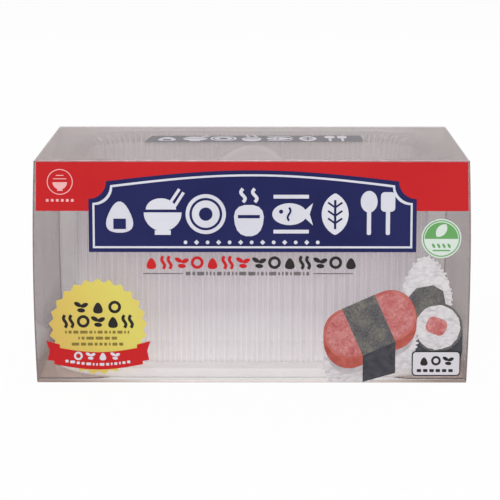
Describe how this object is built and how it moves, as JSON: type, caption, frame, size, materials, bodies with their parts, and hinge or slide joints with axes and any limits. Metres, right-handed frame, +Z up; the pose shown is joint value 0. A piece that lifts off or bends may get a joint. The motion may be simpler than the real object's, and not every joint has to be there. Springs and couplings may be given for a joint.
{
  "type": "sushi rice mold press",
  "caption": "Hand press for rectangular rice blocks: base plate, fluted frame and pusher with arch grip, standing in a clear tuck-end carton with hinged lid.",
  "frame": {"origin": "centre of the carton's base, on the surface it stands on", "axes": "+X to the right along the width, -Y to the printed front, +Z up"},
  "size_m": [0.1274, 0.083, 0.0658],
  "materials": {
    "carton_film": "clear glossy film",
    "mold_plastic": "translucent, smooth",
    "press_plastic": "translucent, smooth"
  },
  "bodies": {
    "root": {"front_panel": "carton_film", "back_panel": "carton_film", "left_side_panel": "carton_film", "right_side_panel": "carton_film", "glue_seam": "carton_film", "bottom_panel": "carton_film", "bottom_tuck_flap": "carton_film", "bottom_dust_flap_left": "carton_film", "bottom_dust_flap_right": "carton_film", "base_plate": "mold_plastic", "mold_frame": "mold_plastic"},
    "lid": {"lid_panel": "carton_film", "lid_tuck_flap": "carton_film"},
    "left_dust_flap": {"top_dust_flap_left": "carton_film"},
    "right_dust_flap": {"top_dust_flap_right": "carton_film"},
    "pusher": {"press_plate": "press_plastic", "press_grip": "press_plastic"}
  },
  "joints": [
    {"name": "lid_hinge", "type": "hinge", "parent": "root", "child": "lid", "pos_m": [0, 0.0415, 0.0654], "axis": [-1, 0, 0], "range_deg": [0, 180]},
    {"name": "left_flap_hinge", "type": "hinge", "parent": "root", "child": "left_dust_flap", "pos_m": [-0.0626, 0, 0.0653], "axis": [0, -1, 0], "range_deg": [0, 90]},
    {"name": "right_flap_hinge", "type": "hinge", "parent": "root", "child": "right_dust_flap", "pos_m": [0.0626, 0, 0.0653], "axis": [0, 1, 0], "range_deg": [0, 90]},
    {"name": "pusher_slide", "type": "slide", "parent": "root", "child": "pusher", "axis": [0, 0, 1], "range_m": [-0.0436, 0]}
  ],
  "couplings": [
    {"joint": "left_flap_hinge", "follows": "lid_hinge", "ratio": 0.5},
    {"joint": "right_flap_hinge", "follows": "lid_hinge", "ratio": 0.5}
  ]
}
